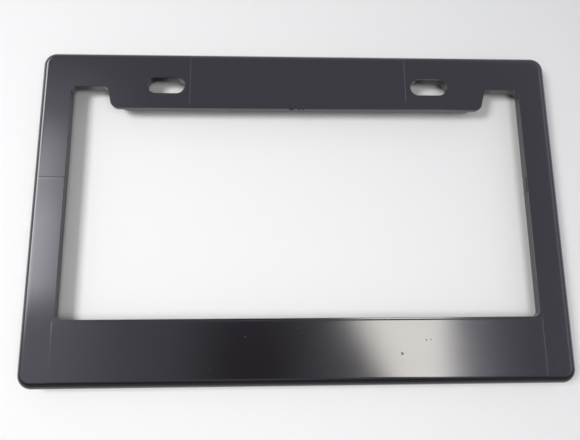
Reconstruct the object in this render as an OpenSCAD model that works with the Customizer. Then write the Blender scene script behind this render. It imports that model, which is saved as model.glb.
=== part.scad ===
// Number plate holder for a motorcycle plate: one injection moulded frame.
// X runs across the frame, Y to its top edge and Z out of its front face.
// The origin is the centre of the rear rim, on which the frame lies.

/* [Shell] */
// Width over the side walls, measured at the rear rim
frame_w = 230; // [212:1:260]
// Height over the top and bottom walls, measured at the rear rim
frame_h = 147; // [135:1:170]
// Depth from the rear rim to the front face
frame_d = 12; // [9:0.5:18]
// Thickness of the side walls
wall_t = 2; // [1.5:0.1:2.5]
// Thickness of the front face
face_t = 2; // [1.5:0.1:2.5]
// Radius of the four corners of the outline
corner_r = 6; // [5.5:0.5:12]
// Radius of the edge where the front face turns into the side walls
edge_r = 3.5; // [2.7:0.1:4.5]
// Draft of the side walls in degrees
draft = 1; // [0.5:0.25:2]
// Chamfer on the inner edge of the rear rim
rim_chamfer = 0.6; // [0.2:0.1:1]

/* [Window] */
// Width of the bars left and right of the window
side_bar = 14; // [12:0.5:20]
// Width of the band below the window
bottom_bar = 27.5; // [20:0.5:36]
// Width of the bar above the two notches
top_bar = 17; // [15:0.5:20]
// Distance from the top of the frame to the lower edge of the tab
tab_drop = 27; // [24:0.5:34]
// Width of a notch at its top, from the side of the window to the tab
notch_w = 15.5; // [11:0.5:18]
// How far each side of the tab leans in from the top of the notch to the tab's lower edge
tab_taper = 2.5; // [2:0.1:8]
// Radius of the lower corners of the tab
tab_corner_r = 3.5; // [1.5:0.5:4.5]
// Radius of the fillets between the tab and the top bar
tab_root_r = 2; // [1:0.5:3]
// Radius of the corners of the window
window_r = 2.5; // [1:0.5:5]

/* [Lip] */
// Depth of the window's walls, from the front face to the edge of the lip
lip_d = 4; // [3:0.25:6]
// Thickness of the lip, the slot collars and the ribs' outer ends
lip_t = 1.6; // [1:0.1:2.4]
// Radius of the lip behind the lower corners of the tab
lip_corner_r = 10; // [6:0.5:12]
// Thickness of the stiffening ribs
rib_t = 1.2; // [0.8:0.1:2]
// Distance from one rib to the next
rib_pitch = 40; // [30:1:60]

/* [Bolt slots] */
// Distance from the tab's upper corners, at the notches, in to the centres of the slots
slot_inset = 26; // [18:0.5:32]
// Distance from the top of the frame to the centre line of the slots
slot_drop = 16.2; // [13.2:0.5:18.2]
// Length of a slot from end to end
slot_l = 16.5; // [10:0.5:20]
// Height of a slot
slot_h = 7.3; // [5.3:0.1:9.3]

/* [Raised panels] */
// Height of the two panels above the front face
panel_lift = 0.2; // [0.1:0.05:0.5]
// Width of the slope round a panel
panel_slope = 1.5; // [1:0.1:2]
// Radius of a panel's inner corners, at the foot of the slope
panel_r = 3; // [2.5:0.5:5]
// Distance from a panel's foot to the edge of the window
panel_margin = 0.6; // [0.3:0.1:1.5]
// Distance from the slots to the panel on the top band
slot_panel_gap = 2.25; // [1:0.25:20]
// Distance from the sides of the frame to the panel on the bottom band
bottom_panel_inset = 13; // [8:0.5:30]

/* [Hidden] */
$fn = 96;
past = 1;                                // how far a cutter passes what it cuts
hair = 0.001;                            // added to a fillet's arc, so it crosses its lines cleanly
lip_z = frame_d - lip_d;                 // rear edge of the lip, the collars and the ribs
face_z = frame_d - face_t;               // rear of the front face
window_x = frame_w / 2 - side_bar;       // half width of the window
window_lo = bottom_bar - frame_h / 2;    // lower edge of the window
notch_y = frame_h / 2 - top_bar;         // upper edge of the notches
window_mid = (window_lo + notch_y) / 2;  // middle of the window's height
tab_y = frame_h / 2 - tab_drop;          // lower edge of the tab
tab_tip_x = window_x - notch_w - tab_taper;  // half width of the tab at its lower edge
tab_lean = tab_taper / (notch_y - tab_y);
slot_x = window_x - notch_w - slot_inset;    // centre of a slot
slot_y = frame_h / 2 - slot_drop;
top_panel_w = 2 * (slot_x - slot_l / 2 - slot_panel_gap);
bottom_panel_w = frame_w - 2 * bottom_panel_inset;
inner_edge_r = max(edge_r - wall_t, 0.5);
panel_root = face_t / 2;                 // how deep a panel is rooted in the face
ribs_x = floor((window_x - rib_t) / rib_pitch);
ribs_y = floor((notch_y - window_lo) / 2 / rib_pitch);

// Direction from point p to point q
function toward(p, q) = (q - p) / norm(q - p);
// Half of the angle between the two edges that meet at q
function half_angle(p, q, s) = acos(toward(q, p) * toward(q, s)) / 2;
// Where a fillet of radius r at q meets the edge that runs to p
function fillet_end(p, q, s, r) = q + toward(q, p) * r / tan(half_angle(p, q, s));
// Centre of that fillet
function fillet_centre(p, q, s, r) = let (mid = toward(q, p) + toward(q, s))
    q + mid / norm(mid) * r / sin(half_angle(p, q, s));
// Whether an outline that runs anticlockwise turns left at q
function turns_left(p, q, s) = cross(q - p, s - q) > 0;
// Half width of the tab at height y, drawn in by some distance
function tab_x(y, in_by) =
    tab_tip_x + tab_lean * (y - tab_y) - in_by * sqrt(1 + tab_lean ^ 2);

// What lies between the corner at q and its fillet of radius r, run on past the corner
module corner_piece(p, q, s, r) {
    centre = fillet_centre(p, q, s, r);
    difference() {
        polygon([fillet_end(p, q, s, r), 2 * q - centre, fillet_end(s, q, p, r)]);
        translate(centre) rotate(atan2(centre.y - q.y, centre.x - q.x)) circle(r + hair);
    }
}

// An outline with true arcs of the given radii at its corners, run anticlockwise
module filleted(points, radii) {
    n = len(points);
    before = [for (i = [0:n - 1]) points[(i + n - 1) % n]];
    after = [for (i = [0:n - 1]) points[(i + 1) % n]];
    difference() {
        union() {
            polygon(points);
            for (i = [0:n - 1]) if (!turns_left(before[i], points[i], after[i]))
                corner_piece(before[i], points[i], after[i], radii[i]);
        }
        for (i = [0:n - 1]) if (turns_left(before[i], points[i], after[i]))
            corner_piece(before[i], points[i], after[i], radii[i]);
    }
}

// The window with its two notches, grown into the plastic by some distance
module window(grow, tab_r) {
    x = window_x + grow;
    lo = window_lo - grow;
    hi = notch_y + grow;
    tip = tab_y + grow;
    right = [[x, lo], [x, hi], [tab_x(hi, grow), hi], [tab_x(tip, grow), tip]];
    right_r = [window_r + grow, window_r + grow, tab_root_r + grow, max(tab_r - grow, 0.5)];
    left = [for (i = [3:-1:0]) [-right[i].x, right[i].y]];
    left_r = [for (i = [3:-1:0]) right_r[i]];
    filleted(concat(right, left), concat(right_r, left_r));
}

// One bolt slot, grown on all sides by some distance
module slot(grow) {
    reach = (slot_l - slot_h) / 2;
    for (side = [-1, 1]) translate([side * reach, 0]) circle(slot_h / 2 + grow);
    square([2 * reach, slot_h + 2 * grow], center = true);
}

module at_slots() {
    for (side = [-1, 1]) translate([side * slot_x, slot_y]) children();
}

// Half section of a rim: r wide at its foot, d high, drafted, its upper edge rounded off
module rim_section(r, d, edge) {
    inset = (edge + (d - edge) * sin(draft)) / cos(draft);
    centre = [r - inset, d - edge];
    tip = [r - d * tan(draft), d];
    difference() {
        polygon([[0, 0], [r, 0], tip, [0, d]]);
        difference() {
            polygon([centre + edge * [cos(draft), sin(draft)], tip + [past, 0],
                tip + [past, past], [centre.x, d + past], [centre.x, d]]);
            translate(centre) rotate(225) circle(edge + hair);
        }
    }
}

// Section of the shell where the face turns into the wall, from a corner's axis outward
module shell_section() {
    inner_r = corner_r - wall_t;
    mouth = rim_chamfer + past;
    difference() {
        rim_section(corner_r, frame_d, edge_r);
        rim_section(inner_r, face_z, inner_edge_r);
        polygon([[-past, -past], [inner_r + mouth, -past], [inner_r, rim_chamfer],
            [-past, rim_chamfer]]);
    }
}

// Runs a section along the four sides of the outline and turns it through the corners
module run_round_outline() {
    for (i = [0:3]) {
        across = (i % 2 == 0 ? frame_w : frame_h) / 2 - corner_r;
        along = (i % 2 == 0 ? frame_h : frame_w) / 2 - corner_r;
        rotate(90 * i) translate([across, along, 0]) {
            rotate_extrude(angle = 90) children();
            rotate([90, 0, 0]) linear_extrude(2 * along) children();
        }
    }
}

// The flat part of the face, with the window and the slots through it
module face_outline() {
    difference() {
        square([frame_w - 2 * corner_r, frame_h - 2 * corner_r], center = true);
        window(0, tab_corner_r);
        at_slots() slot(0);
    }
}

// What stands behind the face: the lip, the slot collars and the ribs
module web_outline() {
    difference() {
        union() {
            window(lip_t, lip_corner_r);
            at_slots() slot(lip_t);
            for (i = [-ribs_x:ribs_x]) translate([i * rib_pitch, 0])
                square([rib_t, frame_h - wall_t], center = true);
            for (i = [-ribs_y:ribs_y]) translate([0, window_mid + i * rib_pitch])
                square([frame_w - wall_t, rib_t], center = true);
        }
        window(0, lip_corner_r);
        at_slots() slot(0);
    }
}

// Section of a panel's sloped side, from a corner's axis outward
module panel_section() {
    polygon([[0, 0], [panel_r, 0], [panel_r, panel_root],
        [panel_r - panel_slope, panel_root + panel_lift], [0, panel_root + panel_lift]]);
}

// A panel from foot_y out past the edge of the frame, with two inner corners
module panel_form(w, foot_y) {
    straight = frame_h / 2 + past - foot_y - panel_r;
    translate([0, foot_y + panel_r, frame_d - panel_root]) {
        for (side = [0, 1]) mirror([side, 0, 0]) translate([w / 2 - panel_r, 0, 0]) {
            rotate(-90) rotate_extrude(angle = 90) panel_section();
            translate([0, straight, 0]) rotate([90, 0, 0])
                linear_extrude(straight) panel_section();
        }
        translate([panel_r - w / 2, 0, 0]) {
            rotate([90, 0, 90]) linear_extrude(w - 2 * panel_r) mirror([1, 0]) panel_section();
            cube([w - 2 * panel_r, straight, panel_root + panel_lift]);
        }
    }
}

// The same panel, run out halfway round the edge of the frame
module panel(w, foot_y) {
    intersection() {
        panel_form(w, foot_y);
        rotate([90, 0, 90]) linear_extrude(frame_w, center = true)
            rim_section(frame_h / 2 - panel_lift, frame_d + panel_lift, edge_r);
    }
}

module plate_frame() {
    color([0.045, 0.045, 0.05]) {
        run_round_outline() shell_section();
        translate([0, 0, face_z]) linear_extrude(face_t) face_outline();
        translate([0, 0, lip_z]) linear_extrude(lip_d - face_t) web_outline();
        panel(top_panel_w, tab_y + panel_margin);
        mirror([0, 1, 0]) panel(bottom_panel_w, panel_margin - window_lo);
    }
}

plate_frame();
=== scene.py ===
"""The looks of the number plate holder: one glossy black moulding on a pale floor."""
import bpy
from math import atan2, cos, pi, radians, sin, tan
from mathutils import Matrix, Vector
from mathutils.geometry import delaunay_2d_cdt


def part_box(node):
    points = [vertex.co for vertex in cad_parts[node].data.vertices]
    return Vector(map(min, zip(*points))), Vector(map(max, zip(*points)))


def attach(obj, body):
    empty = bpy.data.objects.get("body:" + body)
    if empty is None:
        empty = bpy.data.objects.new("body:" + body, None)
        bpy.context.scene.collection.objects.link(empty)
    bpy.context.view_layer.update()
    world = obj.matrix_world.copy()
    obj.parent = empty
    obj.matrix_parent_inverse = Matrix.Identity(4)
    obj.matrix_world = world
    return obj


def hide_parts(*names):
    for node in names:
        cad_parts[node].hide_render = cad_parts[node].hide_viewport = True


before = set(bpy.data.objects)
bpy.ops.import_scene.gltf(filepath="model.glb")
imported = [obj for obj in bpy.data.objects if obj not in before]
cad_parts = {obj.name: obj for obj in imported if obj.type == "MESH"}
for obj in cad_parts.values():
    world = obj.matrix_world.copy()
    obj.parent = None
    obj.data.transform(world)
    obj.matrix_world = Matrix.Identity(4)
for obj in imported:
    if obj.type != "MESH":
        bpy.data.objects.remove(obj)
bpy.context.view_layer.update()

# The part's sizes are in millimetres, and its mesh is made in metres
MM = 0.001
LOW, HIGH = (tuple(c / MM for c in corner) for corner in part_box("plate_frame"))

# The shell
CAD_LIFT = 0.2
FRAME_W = HIGH[0] - LOW[0]
FRAME_H = HIGH[1] - LOW[1]
FACE_TOP = HIGH[2] - CAD_LIFT
WALL = 2
FACE = 2
REAR = FACE_TOP - FACE
CORNER_R = 6
EDGE_R = 3.5
DRAFT = radians(1)
RIM_CHAMFER = 0.6

# How far the flat face's edge lies inside the outline of the rim's foot
INSET = (EDGE_R + (FACE_TOP - EDGE_R) * sin(DRAFT)) / cos(DRAFT)
FACE_EDGE_Y = FRAME_H / 2 - INSET

# The window
SIDE_BAR = 14
BOTTOM_BAR = 27.5
TOP_BAR = 17
TAB_DROP = 27
NOTCH_W = 15.5
TAB_TAPER = 2.5
TAB_CORNER_R = 3.5
TAB_ROOT_R = 2
WINDOW_R = 2.5
WINDOW_EDGE_R = 0.15
WINDOW_X = FRAME_W / 2 - SIDE_BAR
WINDOW_LO = BOTTOM_BAR - FRAME_H / 2
NOTCH_Y = FRAME_H / 2 - TOP_BAR
TAB_Y = FRAME_H / 2 - TAB_DROP
TAB_LEAN = TAB_TAPER / (NOTCH_Y - TAB_Y)

# The lip and the ribs behind the face
LIP_D = 4
LIP_T = 1.6
LIP_CORNER_R = 10
LIP_Z = FACE_TOP - LIP_D
RIB_T = 1.2
RIB_PITCH = 40
RIB_SHY = 0.03

# The bolt slots
SLOT_INSET = 26
SLOT_DROP = 16.2
SLOT_L = 16.5
SLOT_H = 7.3
SLOT_EDGE_R = 0.3
SLOT_X = WINDOW_X - NOTCH_W - SLOT_INSET
SLOT_Y = FRAME_H / 2 - SLOT_DROP

# The raised panels, 1 for the top one and -1 for the bottom one: half the width, the distance of the foot
# from the middle of the frame, and the width of the slope at the foot
PANEL_LIFT = 0.12
PANEL_MARGIN = 0.6
SLOT_PANEL_GAP = 2.25
BOTTOM_PANEL_INSET = 13
SIDE_SLOPE = 0.6
TAB_SLOPE = 6
PANELS = {
    1: (SLOT_X - SLOT_L / 2 - SLOT_PANEL_GAP, TAB_Y + PANEL_MARGIN, TAB_SLOPE),
    -1: (FRAME_W / 2 - BOTTOM_PANEL_INSET, PANEL_MARGIN - WINDOW_LO, SIDE_SLOPE),
}

# A slope is rounded over this share of its width at its foot and at its top, and is cut at these shares
SLOPE_BLEND = 0.3
SLOPE_STEPS = (0, 0.15, 0.3, 0.5, 0.7, 0.85, 1)

# Where the gates were cut off: the middle across and along, and half the size across and along
GATES = (
    (WINDOW_X, 12, 0.35, 3.2),
    (-3.3, TAB_Y, 0.9, 0.35),
    (0.1, TAB_Y, 0.35, 0.25),
    (1.9, TAB_Y, 0.35, 0.25),
)
GATE_TOP = FACE_TOP - 0.5
GATE_FOOT = FACE_TOP - 2.4

# How finely round forms are cut
ARC_STEP = radians(5)
FILLET_STEPS = 18
INNER_FILLET_STEPS = 6
WINDOW_EDGE_STEPS = 5
SLOT_EDGE_STEPS = 4

# How near two places count as one: digits of a vertex, then distances
PLACE_DIGITS = 4
ON_LINE = 1e-4
AT_END = 1e-3
SAME_POINT = 1e-5

# The plastic. Each noise has its scale per millimetre and its detail
PLASTIC_IOR = 1.54
PLASTIC_COLOUR = (0.0105, 0.0088, 0.0103, 1)
GRAIN_NOISE = (0.35, 4)
GRAIN_SHARE = 0.008
ROUGH_NOISE = (0.05, 5)
ROUGH_SPREAD = 0.05
ROUGH_LEAST = 0.085
WAVE_NOISE = (0.028, 1.5)
WAVE_DEPTH = 0.05

# Specks of dirt on the face: the middle across and along, and the radius
SPECKS = (
    (41.4, -60.7, 0.75),
    (51.8, -55.3, 0.45),
    (53.7, -55.1, 0.35),
    (-23.3, -53.4, 0.3),
    (-73.6, -59.3, 0.3),
    (-37.3, -66.4, 0.25),
    (-1.5, -50.0, 0.3),
)
SPECK_CORE = 0.4
DIRT_Z = (FACE_TOP - 0.5, FACE_TOP - 0.4)
DIRT_SHARE = 0.5
DIRT_COLOUR = (0.085, 0.08, 0.078, 1)
DIRT_ROUGH = 0.5

# The weld line across the left bar
WELD_Y = 14.3
WELD_HALF = 0.8
WELD_DEPTH = 0.025
WELD_X = (-WINDOW_X + 0.5, -WINDOW_X - 0.5)

# The colour sockets of a Mix node, which share their names
MIX_A = 6
MIX_B = 7
MIX_RESULT = 2

# The floor, in metres from here on
FLOOR_HALF = 6
FLOOR_Z = -0.00005
FLOOR_COLOUR = (0.83, 0.83, 0.825, 1)
FLOOR_ROUGHNESS = 0.6

# The room's soft light, and the background that the camera sees
SOFT_COLOUR = (0.95, 0.95, 1.0, 1)
SOFT_STRENGTH = 0.3
SEEN_COLOUR = (0.86, 0.87, 0.88, 1)

# The lamps: place, size and strength
LAMPS = {
    "lamp_left": ((-0.405, 0.0, 0.69), (0.24, 0.2), 27.5),
    "lamp_middle": ((0.05, -0.1, 0.40), (0.14, 0.14), 9.4),
}

# What the gloss mirrors: a plain room with soft patches. In a direction, across is x / z and along is y / z.
# A patch has its colour, where its left, right, low and high edges start and end, and how far its left edge
# leans with along
GLOSS_BASE = (0.73, 0.76, 0.92)
GLOSS_PATCHES = {
    "right_window": ((14.3, 13.8, 12.9), (0.145, 0.205), (0.352, 0.294), (-0.9, -0.1), (0.13, 0.05), 0.5),
    "right_haze": ((1.6, 1.6, 1.9), (0.27, 0.31), (0.46, 0.33), (-0.9, -0.1), (0.45, 0.1), 0),
    "right_wall": ((0.8, 0.85, 1.0), (0.5, 0.7), (2.4, 1.2), (-0.6, 0.0), (1.5, 0.6), 0),
    "left_window": ((4.2, 4.15, 4.4), (-1.2, -0.7), (-0.33, -0.42), (0.045, 0.1), (0.43, 0.33), 0),
    "left_window_low": ((2.1, 2.1, 2.3), (-1.2, -0.7), (-0.33, -0.42), (0.045, 0.1), (0.28, 0.21), 0),
    "left_sky": ((8.5, 8.6, 8.7), (-2.9, -2.2), (-0.8, -1.2), (-0.05, 0.25), (1.9, 0.9), 0),
    "left_haze": ((0.85, 0.85, 0.95), (-2.4, -1.6), (-0.2, -0.42), (-0.9, -0.2), (0.56, 0.44), 0),
}
LEAST_UP = 0.02

# The dark patch overhead in the room, the walls round it and the dark side of the room
SHADE_SHIFT = (0.02, 0.06)
SHADE_FLAT = 0.6
SHADE_EDGE = (0.02, 0.19)
SHADE_CORE = 0.13
WALLS_EDGE = (0.7, 1.9)
WALLS_SHARE = 0.5
DARK_SIDE = (-1.5, -0.1)

# The camera, fitted to the photograph
CAMERA_LENS = 34.76
CAMERA_SENSOR = 36
CAMERA_CLIP = 0.01
CAMERA_PLACE = (-0.01445, -0.05412, 0.24708)
CAMERA_TURN = (0.2083, -0.0418, -0.0004)


def new_object(name, data):
    """An object in the scene."""
    made = bpy.data.objects.new(name, data)
    bpy.context.scene.collection.objects.link(made)
    return made


class Skin:
    """Faces with a normal at each corner. Corners at the same place share a vertex."""

    def __init__(self):
        self.places = {}
        self.faces = []
        self.normals = []

    def vertex(self, point):
        """The number of the vertex at a point."""
        place = tuple(round(c, PLACE_DIGITS) for c in point)
        return self.places.setdefault(place, len(self.places))

    def face(self, points, normals):
        """Adds a face of three or four corners, wound so that it looks the way of its normals."""
        ids = [self.vertex(p) for p in points]
        keep = [i for i in range(len(ids)) if ids[i] != ids[i - 1]]
        if len(keep) < 3:
            return
        a, b, c = (Vector(points[i]) for i in keep[:3])
        way = (b - a).cross(c - b)
        if len(keep) == 4:
            way += (c - b).cross(Vector(points[keep[3]]) - c)
        if way.dot(sum((Vector(normals[i]) for i in keep), Vector())) < 0:
            keep.reverse()
        self.faces.append([ids[i] for i in keep])
        self.normals.extend(Vector(normals[i]).normalized() for i in keep)

    def make(self, name):
        """The mesh object of all the faces, in metres."""
        mesh = bpy.data.meshes.new(name)
        mesh.from_pydata([[c * MM for c in p] for p in self.places], [], self.faces)
        mesh.polygons.foreach_set("use_smooth", [True] * len(mesh.polygons))
        mesh.normals_split_custom_set(self.normals)
        mesh.validate()
        return new_object(name, mesh)


def sign(value):
    return 1 if value > 0 else -1


def arc(before, corner, after, r):
    """The arc of radius r at a corner, as points with the outline's outward normal."""
    q = Vector(corner)
    back = (Vector(before) - q).normalized()
    on = (Vector(after) - q).normalized()
    half = back.angle(on) / 2
    turn = 1 if back.cross(on) < 0 else -1
    centre = q + (back + on).normalized() * r / sin(half)
    start = q + back * r / tan(half) - centre
    sweep_angle = turn * (pi - 2 * half)
    steps = max(2, round(abs(sweep_angle) / ARC_STEP))
    first = atan2(start.y, start.x)
    turned = [first + sweep_angle * k / steps for k in range(steps + 1)]
    return [(centre.x + r * cos(t), centre.y + r * sin(t), turn * cos(t), turn * sin(t)) for t in turned]


def outline(corners, radii, stops=()):
    """A closed outline run anticlockwise, with arcs at its corners and extra points at stops.
    Each point comes with the outline's outward normal."""
    count = len(corners)
    arcs = [arc(corners[i - 1], corners[i], corners[(i + 1) % count], radii[i]) for i in range(count)]
    loop = []
    for i, turned in enumerate(arcs):
        a, b = arcs[i - 1][-1], turned[0]
        along = Vector((b[0] - a[0], b[1] - a[1]))
        way = along.normalized()
        between = []
        for x, y in stops:
            t = Vector((x - a[0], y - a[1]))
            if abs(way.cross(t)) < ON_LINE and AT_END < way.dot(t) < along.length - AT_END:
                between.append((way.dot(t), (x, y, a[2], a[3])))
        loop += [point for _, point in sorted(between)] + turned
    return loop


def tab_x(y):
    """Half width of the tab at height y."""
    return WINDOW_X - NOTCH_W - TAB_TAPER + TAB_LEAN * (y - TAB_Y)


def window(tab_r, stops=()):
    """The window with its two notches, with radius tab_r at the corners of the tab."""
    right = [(WINDOW_X, WINDOW_LO), (WINDOW_X, NOTCH_Y), (tab_x(NOTCH_Y), NOTCH_Y), (tab_x(TAB_Y), TAB_Y)]
    radii = [WINDOW_R, WINDOW_R, TAB_ROOT_R, tab_r]
    left = [(-x, y) for x, y in reversed(right)]
    return outline(right + left, radii + radii[::-1], stops)


def slot(side):
    """One bolt slot, left for side -1 and right for side 1."""
    x, y, r = side * SLOT_X, SLOT_Y, SLOT_H / 2
    left, right = x - SLOT_L / 2, x + SLOT_L / 2
    return outline([(left, y - r), (right, y - r), (right, y + r), (left, y + r)], [r] * 4)


def rim(stops):
    """The frame's outline at its foot, with extra points at stops."""
    x, y = FRAME_W / 2, FRAME_H / 2
    return outline([(-x, -y), (x, -y), (x, y), (-x, y)], [CORNER_R] * 4, stops)


def grown(loop, by):
    """The points of an outline, moved out along its normals."""
    return [(x + by * nx, y + by * ny) for x, y, nx, ny in loop]


def sweep(skin, loop, rings):
    """Joins rings, each (grown by, height, (normal's outward part, normal's height))."""
    for (g0, z0, n0), (g1, z1, n1) in zip(rings, rings[1:]):
        for i, b in enumerate(loop):
            a = loop[i - 1]
            corners = [(a, g0, z0, n0), (b, g0, z0, n0), (b, g1, z1, n1), (a, g1, z1, n1)]
            skin.face([(v[0] + g * v[2], v[1] + g * v[3], z) for v, g, z, n in corners],
                      [(n[0] * v[2], n[0] * v[3], n[1]) for v, g, z, n in corners])


def inside(point, loop):
    """Whether a point lies inside a closed loop of points."""
    x, y = point
    odd = False
    for i, b in enumerate(loop):
        a = loop[i - 1]
        if (a[1] > y) != (b[1] > y) and x < a[0] + (y - a[1]) * (b[0] - a[0]) / (b[1] - a[1]):
            odd = not odd
    return odd


def fill(skin, outer, holes, lines, place):
    """Fills the area inside outer and outside holes, with edges along lines.
    place gives the height and the normal at x, y."""
    loops = [outer] + holes
    chains = [loop + loop[:1] for loop in loops] + lines
    points = []
    edges = []
    for chain in chains:
        first = len(points)
        points += chain
        edges += [(first + i, first + i + 1) for i in range(len(chain) - 1)]
    vectors = [Vector(p) for p in points]
    made, _, triangles, sources, *_ = delaunay_2d_cdt(vectors, edges, [], 0, SAME_POINT)
    for triangle in triangles:
        spots = [points[sources[i][0]] if sources[i] else tuple(made[i]) for i in triangle]
        middle = [sum(c) / 3 for c in zip(*spots)]
        if inside(middle, outer) and not any(inside(middle, hole) for hole in holes):
            placed = [place(x, y) for x, y in spots]
            skin.face([(x, y, z) for (x, y), (z, _) in zip(spots, placed)], [n for _, n in placed])


def slope(t):
    """Height and steepness of a panel's sloped side, from 0 at its foot to 1 at its top."""
    b = SLOPE_BLEND
    if t <= 0:
        return 0, 0
    if t >= 1:
        return 1, 0
    if t < b:
        return t * t / (2 * b * (1 - b)), t / (b * (1 - b))
    if t > 1 - b:
        return 1 - (1 - t) ** 2 / (2 * b * (1 - b)), (1 - t) / (b * (1 - b))
    return (t - b / 2) / (1 - b), 1 / (1 - b)


def rise(x, y):
    """How far the panels are raised at x, y as a share, and how that grows with x and with y."""
    up = sign(y)
    side = sign(x)
    half_w, foot, foot_slope = PANELS[up]
    across, across_steep = slope((half_w - abs(x)) / SIDE_SLOPE)
    along, along_steep = slope((abs(y) - foot) / foot_slope)
    return across * along, -side * across_steep / SIDE_SLOPE * along, up * along_steep / foot_slope * across


def panel_lines():
    """The lines along the panels' slopes. Those of the sides start at the edge of the face."""
    lines = []
    for up, (half_w, foot, foot_slope) in PANELS.items():
        for t in SLOPE_STEPS:
            x, y = half_w - t * SIDE_SLOPE, up * (foot + t * foot_slope)
            lines += [[(side * x, up * FACE_EDGE_Y), (side * x, up * foot)] for side in (-1, 1)]
            lines.append([(-half_w, y), (half_w, y)])
    return lines


def panel_stops():
    """Where the lines of the panels' sides run out, on the outline of the rim's foot."""
    starts = [line[0] for line in panel_lines()]
    return [(x, sign(y) * FRAME_H / 2) for x, y in starts if abs(y) == FACE_EDGE_Y]


def fillet(skin, loop):
    """The rounded edge of the face, over which the panels run out halfway."""
    centre_z = FACE_TOP - EDGE_R
    raised = [rise(x, y) for x, y in grown(loop, -INSET)]
    rings = []
    for k in range(FILLET_STEPS + 1):
        a = (pi / 2 - DRAFT) * k / FILLET_STEPS
        fade = cos(2 * a) ** 2 if a < pi / 4 else 0
        fading = -2 * sin(4 * a) if a < pi / 4 else 0
        ring = []
        for (x, y, nx, ny), (h, hx, hy) in zip(loop, raised):
            r = EDGE_R + PANEL_LIFT * h * fade
            out = r * sin(a) - INSET
            tip = PANEL_LIFT * h * fading / r
            n_out, n_up = sin(a) - tip * cos(a), cos(a) + tip * sin(a)
            n = (nx * n_out - PANEL_LIFT * fade * hx, ny * n_out - PANEL_LIFT * fade * hy, n_up)
            ring.append(((x + nx * out, y + ny * out, centre_z + r * cos(a)), n))
        rings.append(ring)
    for inner, outer in zip(rings, rings[1:]):
        for i in range(len(loop)):
            quad = [inner[i - 1], inner[i], outer[i], outer[i - 1]]
            skin.face([p for p, _ in quad], [n for _, n in quad])


def quarter(edge, top, steps):
    """Rings of a rounded edge that turns down from a flat face into a hole's wall."""
    turned = [pi / 2 * k / steps for k in range(steps + 1)]
    return [(edge * (1 - sin(a)), top - edge * (1 - cos(a)), (-sin(a), cos(a))) for a in turned]


def block(skin, low, high):
    """A closed box."""
    for axis in range(3):
        for way, level in ((-1, low[axis]), (1, high[axis])):
            b, c = (axis + 1) % 3, (axis + 2) % 3
            points = []
            for u, v in ((low[b], low[c]), (high[b], low[c]), (high[b], high[c]), (low[b], high[c])):
                p = [0, 0, 0]
                p[axis], p[b], p[c] = level, u, v
                points.append(p)
            normal = [0, 0, 0]
            normal[axis] = way
            skin.face(points, [normal] * len(points))


def add_rim(skin, loop):
    """The rim's outer walls and the rounded edge of the face, then its foot and its inner walls."""
    lean = tan(DRAFT)
    wall_n = (cos(DRAFT), sin(DRAFT))
    wall_z = FACE_TOP - EDGE_R + EDGE_R * sin(DRAFT)
    sweep(skin, loop, [(0, 0, wall_n), (-wall_z * lean, wall_z, wall_n)])
    fillet(skin, loop)

    foot = WALL - RIM_CHAMFER
    sweep(skin, loop, [(0, 0, (0, -1)), (-foot, 0, (0, -1))])
    wall_foot = -WALL - RIM_CHAMFER * lean
    sweep(skin, loop, [(-foot, 0, (-1, -1)), (wall_foot, RIM_CHAMFER, (-1, -1))])
    inner_r = EDGE_R - WALL
    inner_z = REAR - inner_r
    rings = [(wall_foot, RIM_CHAMFER, (-wall_n[0], -wall_n[1]))]
    for k in range(INNER_FILLET_STEPS + 1):
        a = DRAFT + (pi / 2 - DRAFT) * k / INNER_FILLET_STEPS
        rings.append((-INSET + inner_r * cos(a), inner_z + inner_r * sin(a), (-cos(a), -sin(a))))
    sweep(skin, loop, rings)


def front(x, y):
    """Height and normal of the front face at x, y, with the panels raised on it."""
    h, hx, hy = rise(x, y)
    return FACE_TOP + PANEL_LIFT * h, (-PANEL_LIFT * hx, -PANEL_LIFT * hy, 1)


def rear(x, y):
    """Height and normal of the rear of the face."""
    return REAR, (0, 0, -1)


def lip_ends(tab_r):
    """Where an arc of radius tab_r at the corners of the tab meets its sides."""
    ends = []
    for side in (-1, 1):
        q = Vector((side * tab_x(TAB_Y), TAB_Y))
        up = Vector((side * TAB_LEAN, 1)).normalized()
        along = Vector((-side, 0))
        half = up.angle(along) / 2
        ends += [tuple(q + way * tab_r / tan(half)) for way in (up, along)]
    return ends


def add_lip(skin, loop):
    """The rear edge and the outer side of a lip round a hole."""
    sweep(skin, loop, [(0, LIP_Z, (0, -1)), (LIP_T, LIP_Z, (0, -1))])
    sweep(skin, loop, [(LIP_T, LIP_Z, (1, 0)), (LIP_T, REAR, (1, 0))])


def add_window(skin):
    """The window's rounded edge and walls, and the lip behind the face. Gives the openings that they leave
    in the front and the rear of the face."""
    face_hole = window(TAB_CORNER_R, lip_ends(LIP_CORNER_R))
    lip_hole = window(LIP_CORNER_R)
    sweep(skin, face_hole, quarter(WINDOW_EDGE_R, FACE_TOP, WINDOW_EDGE_STEPS))
    sweep(skin, face_hole, [(0, FACE_TOP - WINDOW_EDGE_R, (-1, 0)), (0, REAR, (-1, 0))])
    sweep(skin, lip_hole, [(0, REAR, (-1, 0)), (0, LIP_Z, (-1, 0))])
    add_lip(skin, lip_hole)
    fill(skin, grown(lip_hole, 0), [grown(face_hole, 0)], [], rear)
    return grown(face_hole, WINDOW_EDGE_R), grown(lip_hole, LIP_T)


def add_slot(skin, side):
    """One bolt slot with its collar behind the face. Gives the openings as add_window does."""
    loop = slot(side)
    sweep(skin, loop, quarter(SLOT_EDGE_R, FACE_TOP, SLOT_EDGE_STEPS))
    sweep(skin, loop, [(0, FACE_TOP - SLOT_EDGE_R, (-1, 0)), (0, LIP_Z, (-1, 0))])
    add_lip(skin, loop)
    return grown(loop, SLOT_EDGE_R), grown(loop, LIP_T)


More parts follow.
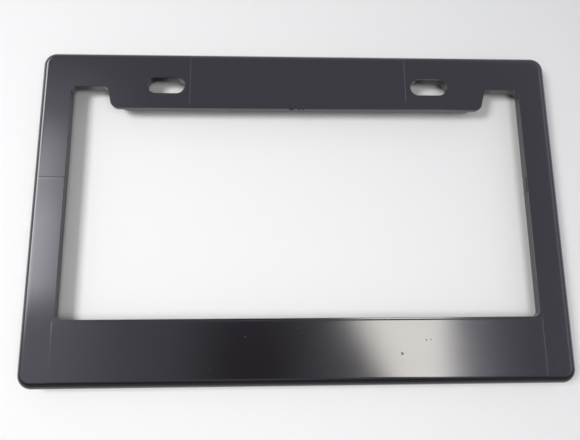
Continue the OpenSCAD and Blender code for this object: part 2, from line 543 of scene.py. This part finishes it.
def add_faces(skin, loop, openings):
    """The front and the rear of the face, round the openings in them."""
    edge = grown(loop, -INSET)
    front_holes, rear_holes = zip(*openings)
    fill(skin, edge, list(front_holes), panel_lines(), front)
    fill(skin, edge, list(rear_holes), [], rear)


def add_ribs(skin):
    """The ribs behind the face, from the lip to the walls."""
    reach_x, reach_y = FRAME_W / 2 - WALL, FRAME_H / 2 - WALL
    low, high = LIP_Z + RIB_SHY, REAR + FACE / 2
    middle = (WINDOW_LO + NOTCH_Y) / 2
    into = LIP_T / 2
    count = int((WINDOW_X - RIB_T) // RIB_PITCH)
    for i in range(-count, count + 1):
        x = i * RIB_PITCH
        for a, b in ((-reach_y, WINDOW_LO - into), (TAB_Y + into, reach_y)):
            block(skin, (x - RIB_T / 2, a, low), (x + RIB_T / 2, b, high))
    count = int((NOTCH_Y - WINDOW_LO) / 2 // RIB_PITCH)
    for i in range(-count, count + 1):
        y = middle + i * RIB_PITCH
        for a, b in ((-reach_x, -WINDOW_X - into), (WINDOW_X + into, reach_x)):
            block(skin, (a, y - RIB_T / 2, low), (b, y + RIB_T / 2, high))


def add_gates(skin):
    """The stubs that are left of the gates on the walls of the window."""
    for x, y, half_x, half_y in GATES:
        block(skin, (x - half_x, y - half_y, GATE_FOOT), (x + half_x, y + half_y, GATE_TOP))


def moulding():
    """The whole frame as one mesh."""
    skin = Skin()
    loop = rim(panel_stops())
    add_rim(skin, loop)
    openings = [add_window(skin)] + [add_slot(skin, side) for side in (-1, 1)]
    add_faces(skin, loop, openings)
    add_ribs(skin)
    add_gates(skin)
    return skin.make("plate_frame_moulding")


def add(tree, kind, **values):
    """A node with some of its properties set."""
    made = tree.nodes.new(kind)
    for name, value in values.items():
        setattr(made, name, value)
    return made


def put(tree, socket, value):
    """Sets a socket to a number or colour, or links it to another socket."""
    if isinstance(value, bpy.types.NodeSocket):
        tree.links.new(value, socket)
    else:
        socket.default_value = value


def maths(tree, operation, *values):
    made = add(tree, "ShaderNodeMath", operation=operation)
    for socket, value in zip(made.inputs, values):
        put(tree, socket, value)
    return made.outputs[0]


def product(tree, *values):
    total = values[0]
    for value in values[1:]:
        total = maths(tree, "MULTIPLY", total, value)
    return total


def length(tree, x, y):
    return maths(tree, "SQRT", maths(tree, "ADD", product(tree, x, x), product(tree, y, y)))


def ramp(tree, value, start, end):
    """Runs smoothly from 0 at start to 1 at end."""
    made = add(tree, "ShaderNodeMapRange", interpolation_type="SMOOTHSTEP")
    tree.links.new(value, made.inputs["Value"])
    made.inputs["From Min"].default_value = start
    made.inputs["From Max"].default_value = end
    return made.outputs["Result"]


def scaled(tree, vector, factor):
    """A vector or a colour times a number, either of them fixed or from a socket."""
    made = add(tree, "ShaderNodeVectorMath", operation="SCALE")
    put(tree, made.inputs[0], vector)
    put(tree, made.inputs["Scale"], factor)
    return made.outputs[0]


def split(tree, vector):
    made = add(tree, "ShaderNodeSeparateXYZ")
    tree.links.new(vector, made.inputs[0])
    return made.outputs


def noise(tree, vector, scale, detail):
    made = add(tree, "ShaderNodeTexNoise")
    tree.links.new(vector, made.inputs["Vector"])
    made.inputs["Scale"].default_value = scale
    made.inputs["Detail"].default_value = detail
    return made.outputs["Fac"]


def new_material(name):
    """A material, its node tree and its shader."""
    material = bpy.data.materials.new(name)
    material.use_nodes = True
    tree = material.node_tree
    return material, tree, tree.nodes["Principled BSDF"]


def dirt_specks(tree, x, y, z):
    """How much dirt lies at a place: some on the specks on the face, none elsewhere."""
    total = 0
    for at_x, at_y, radius in SPECKS:
        far = length(tree, maths(tree, "SUBTRACT", x, at_x), maths(tree, "SUBTRACT", y, at_y))
        total = maths(tree, "MAXIMUM", total, ramp(tree, far, radius, radius * SPECK_CORE))
    return product(tree, total, ramp(tree, z, *DIRT_Z), DIRT_SHARE)


def weld_line(tree, x, y):
    """1 on the weld line across the left bar, 0 elsewhere."""
    from_weld = maths(tree, "ABSOLUTE", maths(tree, "SUBTRACT", y, WELD_Y))
    return product(tree, ramp(tree, from_weld, WELD_HALF, 0), ramp(tree, x, *WELD_X))


def black_plastic():
    """Glossy black moulded plastic with faint waves, a weld line and a few specks of dirt."""
    material, tree, shader = new_material("black_plastic")
    shader.inputs["IOR"].default_value = PLASTIC_IOR
    place = add(tree, "ShaderNodeTexCoord")
    spot = scaled(tree, place.outputs["Object"], 1 / MM)
    x, y, z = split(tree, spot)
    dirt = dirt_specks(tree, x, y, z)

    rough = maths(tree, "MULTIPLY_ADD", noise(tree, spot, *ROUGH_NOISE), ROUGH_SPREAD, ROUGH_LEAST)
    tree.links.new(maths(tree, "MULTIPLY_ADD", dirt, DIRT_ROUGH, rough), shader.inputs["Roughness"])

    colour = add(tree, "ShaderNodeMix", data_type="RGBA")
    grain = noise(tree, spot, *GRAIN_NOISE)
    tree.links.new(maths(tree, "MULTIPLY_ADD", grain, GRAIN_SHARE, dirt), colour.inputs["Factor"])
    colour.inputs[MIX_A].default_value = PLASTIC_COLOUR
    colour.inputs[MIX_B].default_value = DIRT_COLOUR
    tree.links.new(colour.outputs[MIX_RESULT], shader.inputs["Base Color"])

    weld = product(tree, weld_line(tree, x, y), WELD_DEPTH)
    height = maths(tree, "MULTIPLY_ADD", noise(tree, spot, *WAVE_NOISE), WAVE_DEPTH, weld)
    bump = add(tree, "ShaderNodeBump")
    bump.inputs["Strength"].default_value = 1
    bump.inputs["Distance"].default_value = MM
    tree.links.new(height, bump.inputs["Height"])
    tree.links.new(bump.outputs[0], shader.inputs["Normal"])
    return material


def pale_floor():
    """The floor's plain matt finish."""
    material, _, shader = new_material("pale_floor")
    shader.inputs["Base Color"].default_value = FLOOR_COLOUR
    shader.inputs["Roughness"].default_value = FLOOR_ROUGHNESS
    return material


def add_floor():
    """A wide square floor just below the frame's foot."""
    half = FLOOR_HALF
    mesh = bpy.data.meshes.new("floor")
    corners = [(-half, -half, 0), (half, -half, 0), (half, half, 0), (-half, half, 0)]
    mesh.from_pydata(corners, [], [(0, 1, 2, 3)])
    mesh.materials.append(pale_floor())
    floor = new_object("floor", mesh)
    floor.location.z = FLOOR_Z


def direction(tree):
    """Across and along of the direction in which the world is seen."""
    towards = add(tree, "ShaderNodeTexCoord")
    x, y, z = split(tree, towards.outputs["Generated"])
    up = maths(tree, "MAXIMUM", z, LEAST_UP)
    return maths(tree, "DIVIDE", x, up), maths(tree, "DIVIDE", y, up)


def shade(tree, across, along):
    """How bright the plain room is: dark overhead, where someone stands behind the camera, and dark on the
    side below it."""
    x = maths(tree, "ADD", across, SHADE_SHIFT[0])
    y = product(tree, maths(tree, "ADD", along, SHADE_SHIFT[1]), SHADE_FLAT)
    far = length(tree, x, y)
    near = maths(tree, "MULTIPLY_ADD", ramp(tree, far, *SHADE_EDGE), 1 - SHADE_CORE, SHADE_CORE)
    walls = product(tree, ramp(tree, far, *WALLS_EDGE), WALLS_SHARE)
    return product(tree, near, maths(tree, "MAXIMUM", walls, ramp(tree, along, *DARK_SIDE)))


def gloss_surroundings(tree):
    """What the gloss mirrors: a plain room with its soft patches."""
    across, along = direction(tree)
    total = scaled(tree, GLOSS_BASE, shade(tree, across, along))
    for colour, left, right, low, high, lean in GLOSS_PATCHES.values():
        leant = maths(tree, "MULTIPLY_ADD", along, lean, across)
        mask = product(tree, ramp(tree, leant, *left), ramp(tree, across, *right),
                       ramp(tree, along, *low), ramp(tree, along, *high))
        patch = add(tree, "ShaderNodeVectorMath", operation="MULTIPLY_ADD")
        patch.inputs[0].default_value = colour
        tree.links.new(mask, patch.inputs[1])
        tree.links.new(total, patch.inputs[2])
        total = patch.outputs[0]
    return total


def background(tree, colour):
    made = add(tree, "ShaderNodeBackground")
    put(tree, made.inputs["Color"], colour)
    return made


def choose(tree, share, first, second):
    """The first shader where share is 0 and the second where it is 1."""
    made = add(tree, "ShaderNodeMixShader")
    for socket, value in zip(made.inputs, (share, first.outputs[0], second.outputs[0])):
        tree.links.new(value, socket)
    return made


def add_world():
    """Soft light all round, with surroundings of its own for the gloss and for the camera."""
    world = bpy.data.worlds.new("studio")
    world.use_nodes = True
    bpy.context.scene.world = world
    tree = world.node_tree
    soft = tree.nodes["Background"]
    soft.inputs["Color"].default_value = SOFT_COLOUR
    soft.inputs["Strength"].default_value = SOFT_STRENGTH
    path = add(tree, "ShaderNodeLightPath")
    gloss = background(tree, gloss_surroundings(tree))
    lit = choose(tree, path.outputs["Is Glossy Ray"], soft, gloss)
    seen = choose(tree, path.outputs["Is Camera Ray"], lit, background(tree, SEEN_COLOUR))
    tree.links.new(seen.outputs[0], tree.nodes["World Output"].inputs["Surface"])


def add_lamp(name, place, size, strength):
    """An area lamp that looks down at the frame and isn't seen itself."""
    light = bpy.data.lights.new(name, "AREA")
    light.shape = "RECTANGLE"
    light.size, light.size_y = size
    light.energy = strength * size[0] * size[1] * pi
    lamp = new_object(name, light)
    lamp.location = place
    lamp.visible_camera = False
    lamp.visible_glossy = False


def add_camera():
    camera = bpy.data.cameras.new("camera")
    camera.lens = CAMERA_LENS
    camera.sensor_width = CAMERA_SENSOR
    camera.clip_start = CAMERA_CLIP
    shot = new_object("camera", camera)
    shot.location = CAMERA_PLACE
    shot.rotation_mode = "ZYX"
    shot.rotation_euler = CAMERA_TURN
    bpy.context.scene.camera = shot


plate = moulding()
plate.data.materials.append(black_plastic())
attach(plate, "root")
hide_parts("plate_frame")
add_floor()
add_world()
for lamp_name, lamp_values in LAMPS.items():
    add_lamp(lamp_name, *lamp_values)
add_camera()
bpy.context.scene.view_settings.view_transform = "Standard"
